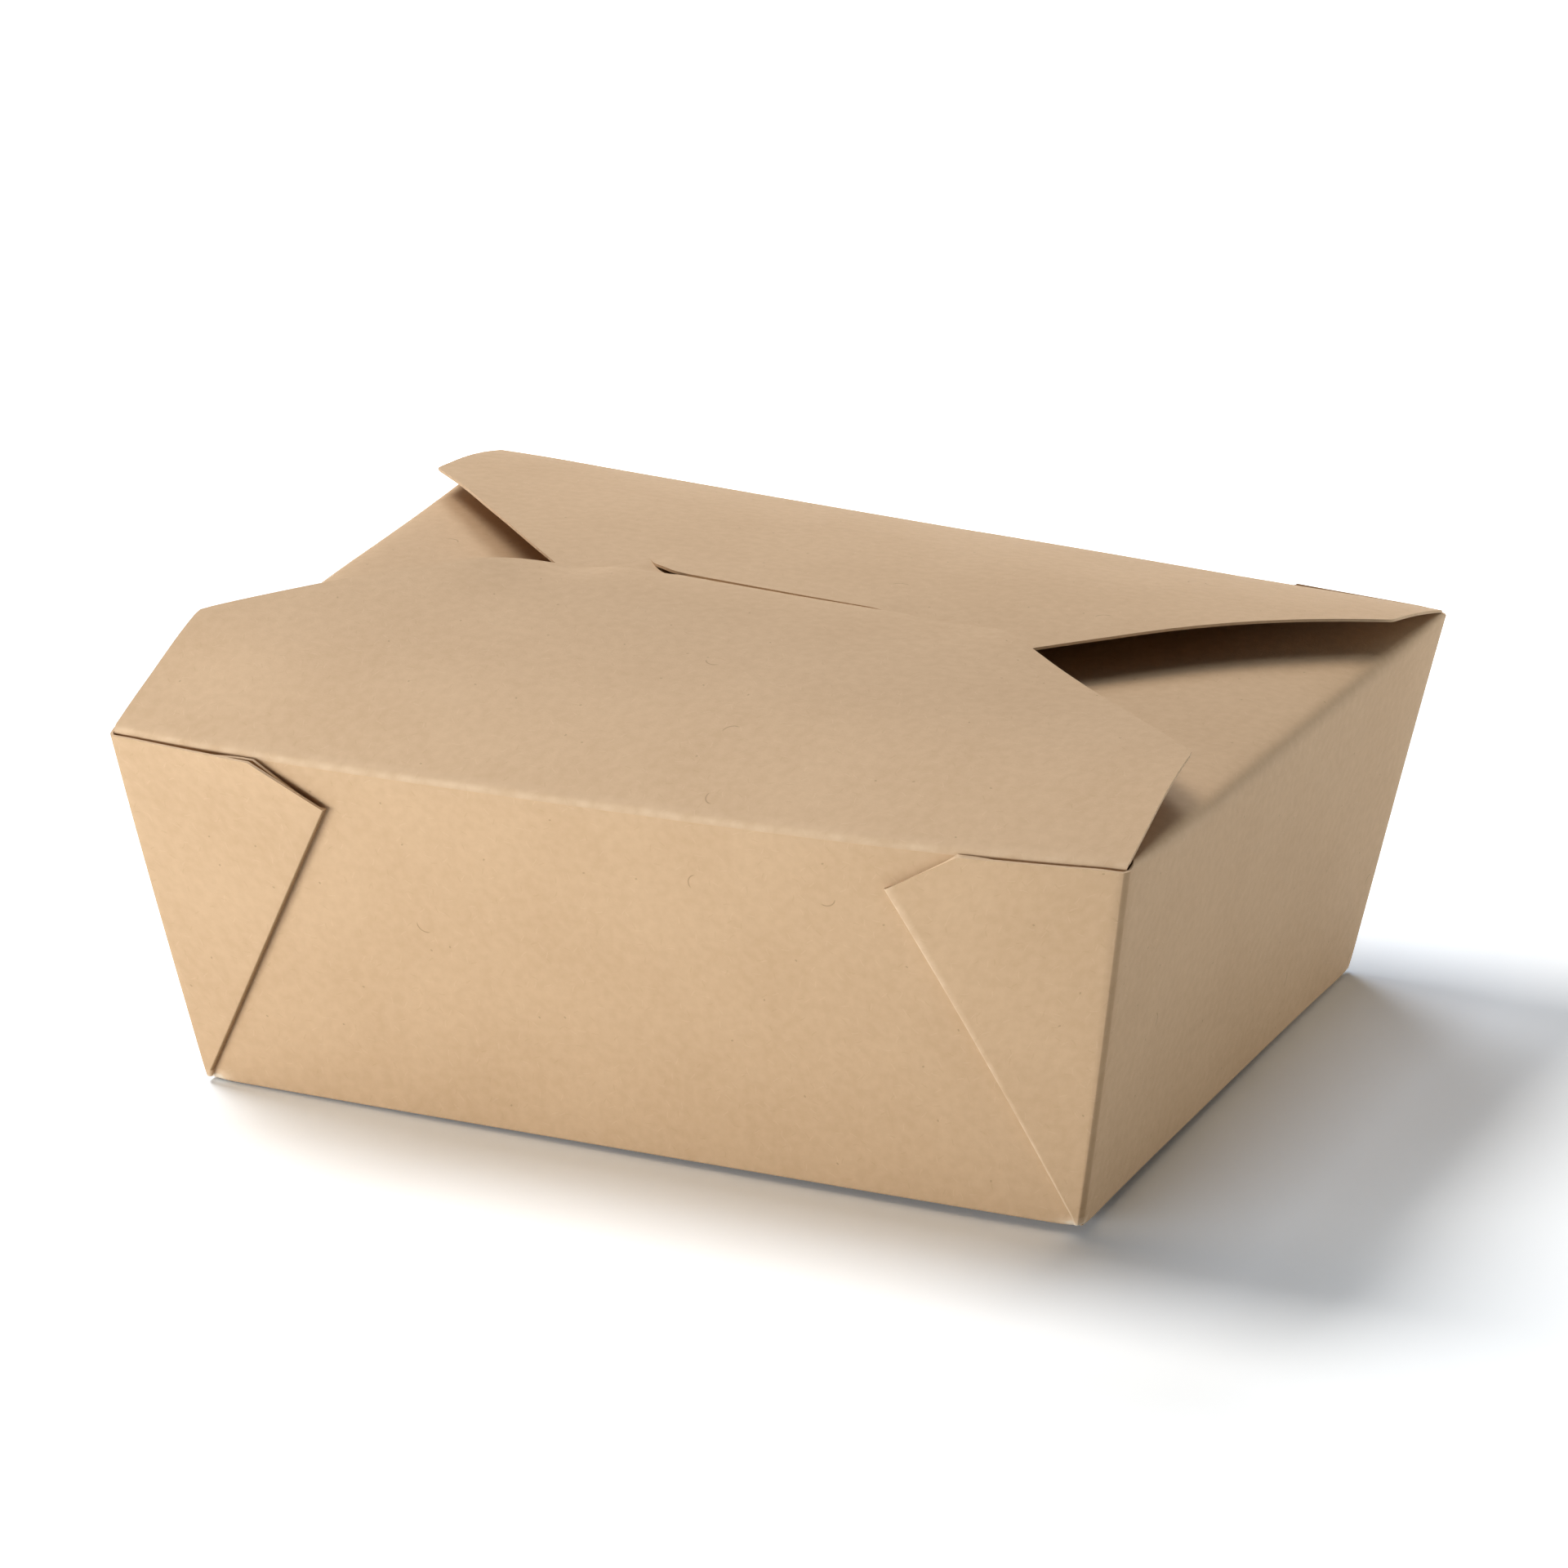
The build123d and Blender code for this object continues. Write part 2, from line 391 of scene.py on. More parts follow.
def between(tree, value, low, high, to_low=0.0, to_high=1.0):
    """Value taken from the range low to high into the range to_low to to_high, and held there."""
    made = node(tree, "ShaderNodeMapRange", None, Value=value)
    for key, number in (("From Min", low), ("From Max", high), ("To Min", to_low), ("To Max", to_high)):
        made.inputs[key].default_value = number
    return made.outputs[0]


def mix_colours(tree, share, first, second):
    """First colour where share is 0 and second where it is 1. A colour is a socket or three numbers."""
    first, second = ((*c, 1) if isinstance(c, tuple) else c for c in (first, second))
    return node(tree, "ShaderNodeMix", {"data_type": "RGBA"}, i0=share, i6=first, i7=second).outputs[2]


def cloud(tree, place, per_mm, detail):
    """Smooth noise with per_mm blotches to a millimetre, finer noise laid over it detail times."""
    flat = {"noise_dimensions": "2D"}
    return node(tree, "ShaderNodeTexNoise", flat, Vector=place, Scale=per_mm, Detail=detail).outputs[0]


# %% Strokes for flecks and fibres
def strokes(tree, place, cell, length, width, curl, share):
    """Short curved strokes, at most one to a cell of the blank, as a mask from 0 to 1.

    In its cell a stroke is part of a circle of radius curl through the cell's point: the mask is high where
    the distance to that circle is under width and the distance to the point is under half the length.
    """
    cells = node(tree, "ShaderNodeTexVoronoi", {"voronoi_dimensions": "2D"}, Vector=place, Scale=1 / cell)
    chance = node(tree, "ShaderNodeSeparateColor", None, Color=cells.outputs["Color"])
    from_point = vector_node(tree, "SUBTRACT", place, cells.outputs["Position"])
    angle = math_node(tree, "MULTIPLY", chance.outputs[0], 2 * math.pi)
    about_z = {"rotation_type": "Z_AXIS"}
    turned_place = node(tree, "ShaderNodeVectorRotate", about_z, Vector=from_point, Angle=angle).outputs[0]
    to_centre = vector_length(tree, vector_node(tree, "SUBTRACT", turned_place, (curl, 0, 0)))
    off_line = math_node(tree, "ABSOLUTE", math_node(tree, "SUBTRACT", to_centre, curl))
    line = between(tree, off_line, width, width / 3)
    ends = between(tree, vector_length(tree, from_point), length / 2, length / 3)
    kept = math_node(tree, "LESS_THAN", chance.outputs[1], share)
    return math_node(tree, "MULTIPLY", math_node(tree, "MULTIPLY", line, ends), kept)


# %% What the board is made of
board_gloss = 0.42
# Each cloud: blotches to a millimetre, detail, and how far it shifts the tone
board_clouds = [(0.05, 2, 0.14), (0.55, 5, 0.22)]
cloud_range = (0.3, 0.7)
# Each mark: shift of its pattern, its strokes (cell, length, width, curl, share), strength and colour
board_marks = {
    "light_fleck": ((0, 0, 0), (2.6, 1.5, 0.11, 3.5, 0.4), 0.26, (0.74, 0.55, 0.37)),
    "dark_fleck": ((311, 87, 0), (3.1, 1.3, 0.12, 2.8, 0.4), 0.22, (0.44, 0.28, 0.15)),
    "curled_fibre": ((87, 503, 0), (17.0, 3.2, 0.14, 1.6, 0.16), 0.6, (0.30, 0.19, 0.10)),
    "bark_speck": ((641, 219, 0), (9.0, 0.5, 0.2, 4.0, 0.3), 0.45, (0.27, 0.17, 0.09)),
}
# Pale tone of folds with a mark above 0, in patches: partly rubbed wear, partly a painted highlight
rub_and_highlight_cloud = (0.35, 3)
rub_and_highlight_range = (0.3, 0.75)
rub_and_highlight_strength = (0.2, 0.7)
rubbed_and_highlight_tone = (0.76, 0.575, 0.395)
bared_from, bared_full, bared_share = 2.1, 3.0, 0.8
bared_tone = (0.86, 0.76, 0.63)
# Painted shade: the dark tone that folds with a mark below 0 are darkened towards
painted_shade_tone = (0.25, 0.145, 0.06)
felt_cloud = (2.4, 3)
felt_strength = 0.11
felt_depth = 0.0002
fleck_relief = 0.5
print("marks on the board:", list(board_marks))


# %% Kraft board and its cut edge
def new_finish(name, roughness, gloss):
    """A material with its node tree and its shader, which has this roughness and strength of reflection."""
    material = bpy.data.materials.new(name)
    material.use_nodes = True
    shader = material.node_tree.nodes["Principled BSDF"]
    shader.inputs["Roughness"].default_value = roughness
    shader.inputs["Specular IOR Level"].default_value = gloss
    return material, material.node_tree, shader


def kraft_board(name, dark, light, roughness):
    """Tan board: two scales of cloud between a dark and a light tone, marks, folds painted pale as wear and
    highlight, and folds darkened with painted shade.
    """
    material, tree, shader = new_finish(name, roughness, board_gloss)
    place = node(tree, "ShaderNodeAttribute", {"attribute_name": "blank"}).outputs["Vector"]
    fold = node(tree, "ShaderNodeAttribute", {"attribute_name": "fold"}).outputs["Fac"]

    tone = 0.5
    for per_mm, detail, shift in board_clouds:
        shade = between(tree, cloud(tree, place, per_mm, detail), *cloud_range, -shift, shift)
        tone = math_node(tree, "ADD", shade, tone)
    colour = mix_colours(tree, tone, dark, light)
    masks = {}
    for mark, (moved, stroke, strength, tint) in board_marks.items():
        masks[mark] = strokes(tree, vector_node(tree, "ADD", place, moved), *stroke)
        colour = mix_colours(tree, math_node(tree, "MULTIPLY", masks[mark], strength), colour, tint)

    # Folds with a mark above 0 are painted pale in patches: partly rubbed wear, partly a painted highlight
    patchy = between(tree, cloud(tree, place, *rub_and_highlight_cloud), *rub_and_highlight_range, *rub_and_highlight_strength)
    colour = mix_colours(tree, math_node(tree, "MULTIPLY", fold, patchy), colour, rubbed_and_highlight_tone)
    bared = between(tree, fold, bared_from, bared_full, 0.0, bared_share)
    colour = mix_colours(tree, bared, colour, bared_tone)
    # Painted shade: folds with a mark below 0 are darkened towards a dark tone
    colour = mix_colours(tree, math_node(tree, "MULTIPLY", fold, -1.0), colour, painted_shade_tone)
    tree.links.new(colour, shader.inputs["Base Color"])

    raised_fleck = math_node(tree, "MULTIPLY", masks["light_fleck"], fleck_relief)
    felt = math_node(tree, "ADD", cloud(tree, place, *felt_cloud), raised_fleck)
    relief = node(tree, "ShaderNodeBump", None, Strength=felt_strength, Distance=felt_depth, Height=felt)
    tree.links.new(relief.outputs[0], shader.inputs["Normal"])
    return material


def cut_edge():
    """Die-cut edge of the board: paler, with the grain of its layers."""
    material, tree, shader = new_finish("cut_edge", 0.85, 0.3)
    place = node(tree, "ShaderNodeTexCoord").outputs["Object"]
    grain = node(tree, "ShaderNodeTexNoise", None, Vector=place, Scale=900.0, Detail=3.0).outputs[0]
    colour = mix_colours(tree, grain, (0.60, 0.42, 0.26), (0.74, 0.55, 0.37))
    tree.links.new(colour, shader.inputs["Base Color"])
    return material


board_finishes = [
    kraft_board("kraft_board", (0.565, 0.385, 0.228), (0.655, 0.462, 0.288), 0.72),
    cut_edge(),
    kraft_board("coated_inside", (0.47, 0.285, 0.140), (0.555, 0.355, 0.190), 0.5),
]
print("finishes", [m.name for m in board_finishes])

# %% [markdown]
# ## Walls and creases
#
# A crease pressed into board isn't a knife edge: the sheet turns through a small arc. The arc is worked out
# from the directions of the sheet before and after it, so the same few lines serve the base creases and the
# rim folds. The four walls lean outwards, and the height of a point gives how far out its wall is.

# %% Walls and fold arcs
base_fold_radius = 0.675
base_fold_turn = math.radians(80.6)
arc_steps = 6
wall_edge_inset = 0.5

wall_foot = board / 2 + base_fold_radius * (1 - math.cos(base_fold_turn))
front_cos = rim_z / math.hypot(rim_z, wall_run_y)
front_up = np.array([wall_run_y, rim_z]) / math.hypot(rim_z, wall_run_y)
end_up = np.array([wall_run_x, rim_z]) / math.hypot(rim_z, wall_run_x)


def end_wall_x(z):
    """Distance of the end wall's middle surface from the middle plane, at a height."""
    return fold_x - wall_run_x * (rim_z - z) / rim_z


def front_wall_y(z):
    """Distance of the front or back wall's middle surface from the middle plane, at a height."""
    return fold_y - wall_run_y * (rim_z - z) / rim_z


def fold_arc(corner, came, goes, radius):
    """Arc that rounds a corner between two unit directions, and how far before the corner it starts.

    It starts radius times the tangent of half the turn before the corner, and each point is the start plus
    radius times sin(angle) along the old direction and one minus cos(angle) towards the new one.
    """
    turn = math.acos(np.dot(came, goes))
    inward = (goes - came * np.dot(came, goes)) / math.sin(turn)
    radius = np.asarray(radius, float)[..., None]
    reach = radius * math.tan(turn / 2)
    angle = np.linspace(0, turn, arc_steps + 1).reshape(-1, *[1] * radius.ndim)
    points = corner - reach * came + radius * (np.sin(angle) * came + (1 - np.cos(angle)) * inward)
    return points, reach[..., 0]


def path_length(points):
    """Length along a line of points from its first point to each of them."""
    steps = np.linalg.norm(np.diff(points, axis=0), axis=-1)
    return np.concatenate([[0], np.cumsum(steps)])


base_edge_x = end_wall_x(wall_foot) - base_fold_radius * math.sin(base_fold_turn)
base_edge_y = front_wall_y(wall_foot) - base_fold_radius * math.sin(base_fold_turn)
print(f"base {2 * base_edge_x:.1f} by {2 * base_edge_y:.1f} mm, walls start {wall_foot:.2f} mm up")

# %% [markdown]
# ## Rows and columns
#
# Neighbouring panels only join if their grids share points. The walls share one list of heights, which has a
# row at the upper end of the web's slanted fold. The long panels share one list of columns: a middle block,
# as wide as the tab or the slit, and an outer block on each side that takes up the rest of the row's width.

# %% Shared rows and columns
side_reach = 58.0
side_rise = 2.0
side_fold_edge_radius = 0.55
side_take_off = math.atan2(2 * side_rise, side_reach)
side_goes = np.array([-math.cos(side_take_off), math.sin(side_take_off)])
edge_reach = fold_arc(np.array([fold_x, rim_z]), end_up, side_goes, side_fold_edge_radius)[1]
wall_top = rim_z - float(edge_reach) * end_up[1]

web_fold_top = 55.4
lower_steps = 35
upper_steps = 6
lower_rows = np.linspace(wall_foot, web_fold_top, lower_steps + 1)
upper_rows = np.linspace(web_fold_top, wall_top, upper_steps + 1)[1:]
wall_heights = np.concatenate([lower_rows, upper_rows])

middle_steps = 60
outer_steps = 34
outer = np.linspace(1, 2, outer_steps + 1)[1:]
column = np.concatenate([-outer[::-1], np.linspace(-1, 1, middle_steps + 1), outer])


def spread(half, middle_half):
    """Columns across a row: the middle block is 2 middle_half wide, the outer blocks reach to half."""
    half, middle_half = (np.atleast_1d(np.asarray(v, float))[:, None] for v in (half, middle_half))
    beyond = np.sign(column) * (middle_half + (np.abs(column) - 1) * (half - middle_half))
    return np.where(np.abs(column) <= 1, column * middle_half, beyond)


print(len(wall_heights), "rows up the walls,", len(column), "columns along the long panels")

# %% [markdown]
# ## Base, end walls and side flaps
#
# These lie in one strip of the blank, from the tip of one side flap to the tip of the other. The strip is a
# profile, seen from the front, carried across the carton with a half width that changes from row to row. The
# fold of the side flap is soft in its middle and tighter at its ends, where the web corners hold it.

# %% Widths of the end walls and side flaps
side_fold_inset = 2.6
side_fold_half = fold_y + board / 2 - side_fold_inset
side_outline = ([0, 10, side_reach], [side_fold_half, 62.0, 40.0])
side_corner = 12.0
corner_turn_out = 0.6
corner_turn_back = 0.9
corner_turn_power = 1.15

outer_ply = (2 * ply_gap + 1.5 * board) / front_cos
inner_ply = (ply_gap + board / 2) / front_cos
outer_face = board / 2 / front_cos


def end_wall_half(z):
    """Half width of an end wall, to where its board turns the corner into the web's outer ply."""
    return front_wall_y(z) + outer_face + outer_ply - corner_turn_back


def side_flap_half(reach):
    """Half width of a side flap: straight edges, and an end corner that is a quarter of a circle."""
    into = np.clip(reach - (side_reach - side_corner), 0, side_corner)
    return np.interp(reach, *side_outline) - side_corner + np.sqrt(side_corner**2 - into**2)


print("end walls, half width at foot and rim:", np.round(end_wall_half(np.array([wall_foot, wall_top])), 1))

# %% Base, end walls and side flaps
side_fold_middle_radius = 2.6
across_steps = 56
flap_steps = 36
slit_block_half = 30.0
crease_mark = 0.3


def end_strip():
    """Base, end walls and side flaps: rows along the profile, columns from front to back.

    The right half of the profile is worked out, from the base's edge to the flap's tip, and then mirrored.
    """
    share = np.linspace(-1, 1, across_steps + 1)
    flat = np.ones_like(share)
    radius = side_fold_edge_radius + (side_fold_middle_radius - side_fold_edge_radius) * (1 - share**4)
    arc, reach = fold_arc(np.array([fold_x, rim_z]), end_up, side_goes, radius)
    top = rim_z - reach * end_up[1]
    rise = (wall_heights - wall_foot) / (wall_top - wall_foot)

    turn = np.linspace(0, base_fold_turn, arc_steps + 1)[1:-1, None]
    turn_x = (base_edge_x + base_fold_radius * np.sin(turn)) * flat
    turn_z = (board / 2 + base_fold_radius * (1 - np.cos(turn))) * flat
    wall_z = wall_foot + rise[:, None] * (top - wall_foot)
    start = fold_x - arc[-1, :, 0]
    flap_q = start + np.linspace(0, 1, flap_steps + 1)[1:, None] * (side_reach - start)
    flap_z = rim_z + side_rise * (1 - (2 * flap_q / side_reach - 1) ** 2)
    x = np.concatenate([turn_x, end_wall_x(wall_z), arc[1:, :, 0], fold_x - flap_q])
    z = np.concatenate([turn_z, wall_z, arc[1:, :, 1], flap_z])

    turn_half = base_edge_y + (end_wall_half(wall_foot) - base_edge_y) * turn[:, 0] / base_fold_turn
    rim_half = np.linspace(end_wall_half(wall_top), side_fold_half, arc_steps + 1)[1:]
    half = np.concatenate([turn_half, end_wall_half(wall_heights), rim_half, side_flap_half(flap_q[:, 0])])
    fold = np.where(np.arange(len(half)) < len(turn), crease_mark, 0.0)
    along = base_edge_x + path_length(np.stack([x, z], -1)[:, across_steps // 2])

    base_x = spread(base_edge_x, slit_block_half)[0]
    base_rows = np.ones((len(base_x), 1))
    x = np.concatenate([-x[::-1], base_x[:, None] * flat, x])
    z = np.concatenate([z[::-1], base_rows * flat * board / 2, z])
    half = np.concatenate([half[::-1], base_rows[:, 0] * base_edge_y, half])
    fold = np.concatenate([fold[::-1], base_rows[:, 0] * 0, fold])
    along = np.concatenate([-along[::-1], base_x, along])
    y = share * half[:, None]
    blank = np.stack([along[:, None] * flat, y], -1)
    return patch(np.stack([x, y, z], -1), blank, fold[:, None])


strip = end_strip()
print("strip:", len(strip[0]), "points")

# %% [markdown]
# ## Long flaps
#
# Each long flap springs up in an arc from its fold. The arc is the circle through the fold, the wing corner
# and the flap's height over the middle of the carton. The front flap lies on top, its tab dives through the
# slit of the back flap, and what is left of the back flap runs on below it.

# %% Arc of a long flap
# Each arc: reach and rise of the wing corner, and rise over the middle of the carton
front_arc = (28.0, 8.65, 10.5)
back_arc = (25.0, 5.7, 9.1)


def flap_circle(wing_reach, wing_rise, middle_rise):
    """Centre and radius of the circle through the fold at 0, the wing corner and the middle of the carton."""
    through = np.array([[wing_reach, wing_rise], [fold_y, middle_rise]])
    centre = np.linalg.solve(through, (through**2).sum(1) / 2)
    return centre, np.linalg.norm(centre)


def flap_height(reach, shape):
    """Height above the rim of a long flap, at a distance from its fold."""
    centre, radius = flap_circle(*shape)
    return centre[1] + np.sqrt(radius**2 - (reach - centre[0]) ** 2)


def flap_direction(reach, shape):
    """Unit direction of a long flap, inwards and up, at a distance from its fold."""
    centre, radius = flap_circle(*shape)
    return np.array([flap_height(reach, shape) - centre[1], centre[0] - reach]) / radius


print("front flap leaves its fold along", np.round(flap_direction(0.0, front_arc), 3))

# %% [markdown]
# ## A long panel's wall and fold
#
# The front panel and the back panel start alike: out from the base's edge, through the crease, up the wall
# and over the rim fold. Their profile is written as the distance out from the middle plane and the height.

# %% Wall and rim fold of a long panel
front_fold_radius = 1.2
flap_root_half = fold_x - 0.4
rim_mark_ends = 0.3
rim_mark_middle = 0.9
wing_softness = 0.25


def wall_profile(shape):
    """Outward distance, height, half width and fold mark of each row, from the base's edge to the flap."""
    turn = np.linspace(0, base_fold_turn, arc_steps + 1)[:-1]
    out_turn = base_edge_y + base_fold_radius * np.sin(turn)
    z_turn = board / 2 + base_fold_radius * (1 - np.cos(turn))
    edge = end_wall_x(wall_foot) - wall_edge_inset
    half_turn = base_edge_x + (edge - base_edge_x) * turn / base_fold_turn
    leaves = flap_direction(0.0, shape) * np.array([-1, 1])
    arc, _ = fold_arc(np.array([fold_y, rim_z]), front_up, leaves, front_fold_radius)
    half_wall = end_wall_x(wall_heights) - wall_edge_inset
    half_arc = np.linspace(end_wall_x(arc[0, 1]) - wall_edge_inset, flap_root_half, arc_steps + 1)
    out = np.concatenate([out_turn, front_wall_y(wall_heights), arc[:, 0]])
    z = np.concatenate([z_turn, wall_heights, arc[:, 1]])
    half = np.concatenate([half_turn, half_wall, half_arc])
    # The rim fold is painted pale along its crease: partly rubbed wear, partly a painted highlight
    rim_mark = rim_mark_ends + rim_mark_middle * np.sin(np.linspace(0, np.pi, arc_steps + 1)) ** 2
    fold = np.concatenate([np.full(arc_steps, crease_mark), np.zeros(len(wall_heights)), rim_mark])
    return out, z, half, fold


def corner_narrowing(reach, wing_reach, wing_half, slope):
    """Half width of a long flap: out to the wing corner, then in along a straight edge.

    The corner is softened: the half width is minus the log of the sum of e to the power of minus each line.
    """
    to_wing = flap_root_half + (wing_half - flap_root_half) * reach / wing_reach
    past_wing = wing_half - slope * (reach - wing_reach)
    return -wing_softness * np.log(np.exp(-to_wing / wing_softness) + np.exp(-past_wing / wing_softness))


print(len(wall_profile(front_arc)[0]), "rows from the base's edge to the flap")

# %% [markdown]
# ## Back panel
#
# The back flap has the slit: a cut that runs along the middle and curls towards the back fold at both ends.
# A hole punched out with a Boolean would leave ragged triangles. Instead the rows of the grid bend along the
# cut, and the flap is made as two patches that meet in it. Where both patches have the same points they join,
# and where the cut is open they don't.

# %% Slit
slit_rear = 2.65
slit_slant = 0.021
slit_straight_half = 19.0
slit_curl_radius = 11.8
slit_end = 29.4
slit_open = 3.2
tab_room_half = 20.6
tab_room_fade = 1.4
gape_left_fade = 5.0
gape_right_fade = (12.0, 20.5)
hair_least = 0.03
hair_more = 0.18
hair_fade = 3.0


def slit_line(x):
    """Distance of the slit's rear edge behind mid width: straight, then a quarter circle up to each end."""
    past = np.clip(np.abs(x) - slit_straight_half, 0, slit_end - slit_straight_half)
    curl = slit_curl_radius - np.sqrt(slit_curl_radius**2 - past**2)
    return slit_rear - slit_slant * np.clip(x, -slit_end, slit_end) + curl


def slit_gape(x):
    """How far the slit gapes, 0 to 1: fully from its left curl to the middle, and shut at its right curl."""
    return (1 - soft_step(-x, slit_end - gape_left_fade, slit_end)) * (1 - soft_step(x, *gape_right_fade))


def slit_gap(x):
    """Width of the slit: open where the tab passes, a hairline in the curls, nothing beyond their ends."""
    tab = slit_open * (1 - soft_step(np.abs(x), tab_room_half, tab_room_half + tab_room_fade))
    before_end = 1 - soft_step(np.abs(x), slit_end - hair_fade, slit_end)
    hair = (hair_least + hair_more * slit_gape(x)) * before_end
    return np.maximum(tab, hair)


print("slit ends", float(slit_line(slit_end)), "mm behind mid width")

# %% Back panel
back_wing_half = rim_x - 0.6
back_middle_half = 43.0
back_slope = (back_wing_half - back_middle_half) / (fold_y - back_arc[0])
back_end = fold_y + 9.0
back_end_block = 22.0
back_wing_steps = 18
back_middle_steps = 26
back_end_steps = 10
lip_lift = 0.65
lip_reach = 5.0
lower_lip_dip = 0.3
lower_lip_fade = 4.0


def rear_of_back_panel():
    """Back wall and back flap as far as the slit, with the reach, the columns and the blank at the slit."""
    out, z, half, fold = wall_profile(back_arc)
    x_wall = spread(half, slit_block_half)
    start = fold_y - out[-1]
    slit_reach = fold_y - slit_line(spread(back_wing_half, slit_block_half)[0])
    wing_share = (back_arc[0] - start) / (slit_reach[0] - start)
    to_wing = np.linspace(0, wing_share, back_wing_steps + 1)[1:]
    share = np.concatenate([to_wing, np.linspace(wing_share, 1, back_middle_steps + 1)[1:]])[:, None]
    reach = start + share * (slit_reach - start)
    x_flap = spread(corner_narrowing(reach[:, 0], back_arc[0], back_wing_half, back_slope), slit_block_half)
    lip = lip_lift * np.exp(-(slit_reach - reach) / lip_reach) * slit_gape(x_flap)
    x = np.concatenate([x_wall, x_flap])
    y = np.concatenate([out[:, None] + 0 * x_wall, fold_y - reach])
    heights = np.concatenate([z[:, None] + 0 * x_wall, rim_z + flap_height(reach, back_arc) + lip])
    along = base_edge_y + path_length(np.stack([y, heights], -1)[:, len(column) // 2])
    blank_y = along[:, None] + 0 * x
    blank_y[len(out):] += reach - reach[:, len(column) // 2, None]
    marks = np.concatenate([fold, np.zeros(len(share))])[:, None]
    rear = patch(np.stack([x, y, heights], -1), np.stack([x, blank_y], -1), marks)
    return rear, slit_reach, x_flap[-1], blank_y[-1]


def back_panel():
    """Back wall and back flap, as two patches that meet in the slit."""
    rear, slit_reach, slit_x, slit_blank = rear_of_back_panel()
    share = np.linspace(0, 1, back_end_steps + 1)[:, None]
    reach = (slit_reach + slit_gap(slit_x)) * (1 - share) + back_end * share
    middle_half = slit_block_half + (back_end_block - slit_block_half) * share[:, 0] ** 2
    x = spread(corner_narrowing(reach[:, 0], back_arc[0], back_wing_half, back_slope), middle_half)
    dip = lower_lip_dip * np.exp(-share * lower_lip_fade) * slit_gape(slit_x)
    points = np.stack([x, fold_y - reach, rim_z + flap_height(reach, back_arc) - dip], -1)
    blank = np.stack([x, slit_blank + reach - slit_reach], -1)
    return [rear, patch(points, blank, np.zeros_like(share))]


back_patches = back_panel()
print("back panel:", sum(len(p[0]) for p in back_patches), "points")

# %% [markdown]
# ## Web corners
#
# At each corner the sheet isn't cut. The end wall's board turns the corner, lies on the front or back wall,
# folds back on itself along a slanted crease and returns underneath to the wall's own edge. The chamfered top
# leaves two cut edges showing. Level by level this is one section, seen from above, that widens with height:
# a turn, a ply, a tight return, a second ply and a last return. So the web is that section carried up the
# corner.

# %% Section of a web corner
web_fold_foot = 76.0
web_fold_slope = 0.5144
chamfer_slope = 1.70
corner_clearance = 0.05
ply_columns = 24
under_ply_step = 1.4
spring_phase = 2.2

corner_turn = np.linspace(0, np.pi / 2, 9)
return_turn = np.linspace(0, np.pi, 7)[1:]
ply_share = np.linspace(0, 1, ply_columns + 1)[1:]
part_columns = (len(corner_turn), ply_columns, len(return_turn), ply_columns, len(return_turn))
web_part = np.repeat(np.arange(5), part_columns)


def up_chamfer(z):
    """0 up to the top of the slanted fold, then evenly to 1 at the top of the wall."""
    return np.clip(z - web_fold_top, 0, None) / (wall_top - web_fold_top)


def web_section(z, spring, gape):
    """Distances from the two middle planes along a web's section, one row for each height.

    The corner turn is a quarter of a superellipse, flatter than a circle. The outer ply springs off by the
    square of the share of its length, and both returns are half circles.
    """
    wall = front_wall_y(z)
    y_outer = wall + outer_face + outer_ply
    y_inner = wall + outer_face + inner_ply
    fold_radius = (y_outer - y_inner) / 2
    rest_radius = (y_inner - wall) / 2
    x_start = end_wall_x(z) - corner_turn_out
    x_rest = end_wall_x(z) - wall_edge_inset
    past_top = np.clip(z - web_fold_top, 0, None)
    x_fold = web_fold_foot - web_fold_slope * np.minimum(z, web_fold_top) + chamfer_slope * past_top
    x_fold = np.minimum(x_fold, x_start - corner_clearance)
    x_under = x_fold - under_ply_step * up_chamfer(z)
    lift = spring * np.sin(np.clip(z / wall_top, 0, 1) * spring_phase) ** 2
    turn_out, turn_back = (f(corner_turn).clip(0) ** (2 / corner_turn_power) for f in (np.cos, np.sin))
    x = np.concatenate([
        x_start + corner_turn_out * turn_out,
        x_start + (x_fold - x_start) * ply_share,
        x_fold - fold_radius * np.sin(return_turn),
        x_under + (x_rest - x_under) * ply_share,
        x_rest + rest_radius * np.sin(return_turn),
    ], 1)
    y = np.concatenate([
        y_outer - corner_turn_back * (1 - turn_back),
        y_outer + (lift + gape * up_chamfer(z)) * ply_share**2,
        y_inner + fold_radius * (1 + np.cos(return_turn)) + lift,
        y_inner + lift * (1 - ply_share) ** 2,
        wall + rest_radius * (1 + np.cos(return_turn)),
    ], 1)
    return x, y


print("a web's section has", len(web_part), "points")

# %% Web corners
web_top_length = 27.0
proud_from = 0.15
proud_growth = 8
under_ply_drop = 0.8
drop_from = 0.1
drop_fade = (0.5, 0.9)
row_tolerance = 0.01
ply_end_share = 0.65
# Painted shade: how dark the web's corner turn is painted
corner_turn_shade = 0.3
tip_wear = 3.0
tip_heights = (0.8, 2.2)


def web_marks(z, mark):
    """Fold marks of a web: mark along its fold and a share of a pale mark beside it, above 0 painted pale as
    wear and highlight and below 0 painted shade, painted shade on the corner turn and a tip rubbed through.
    """
    on_fold = z <= web_fold_top
    fold = np.where((web_part == 2) & on_fold, mark, 0.0)
    last_of_ply = len(corner_turn) + ply_columns - 1
    fold[:, last_of_ply] = np.where(on_fold[:, 0], ply_end_share * max(mark, 0), 0.0)
    # Painted shade along the corner turn
    fold[:, : len(corner_turn)] = -corner_turn_shade * np.sin(2 * corner_turn)
    return np.where(z < tip_heights[1], tip_wear * (1 - soft_step(z, *tip_heights)), fold)


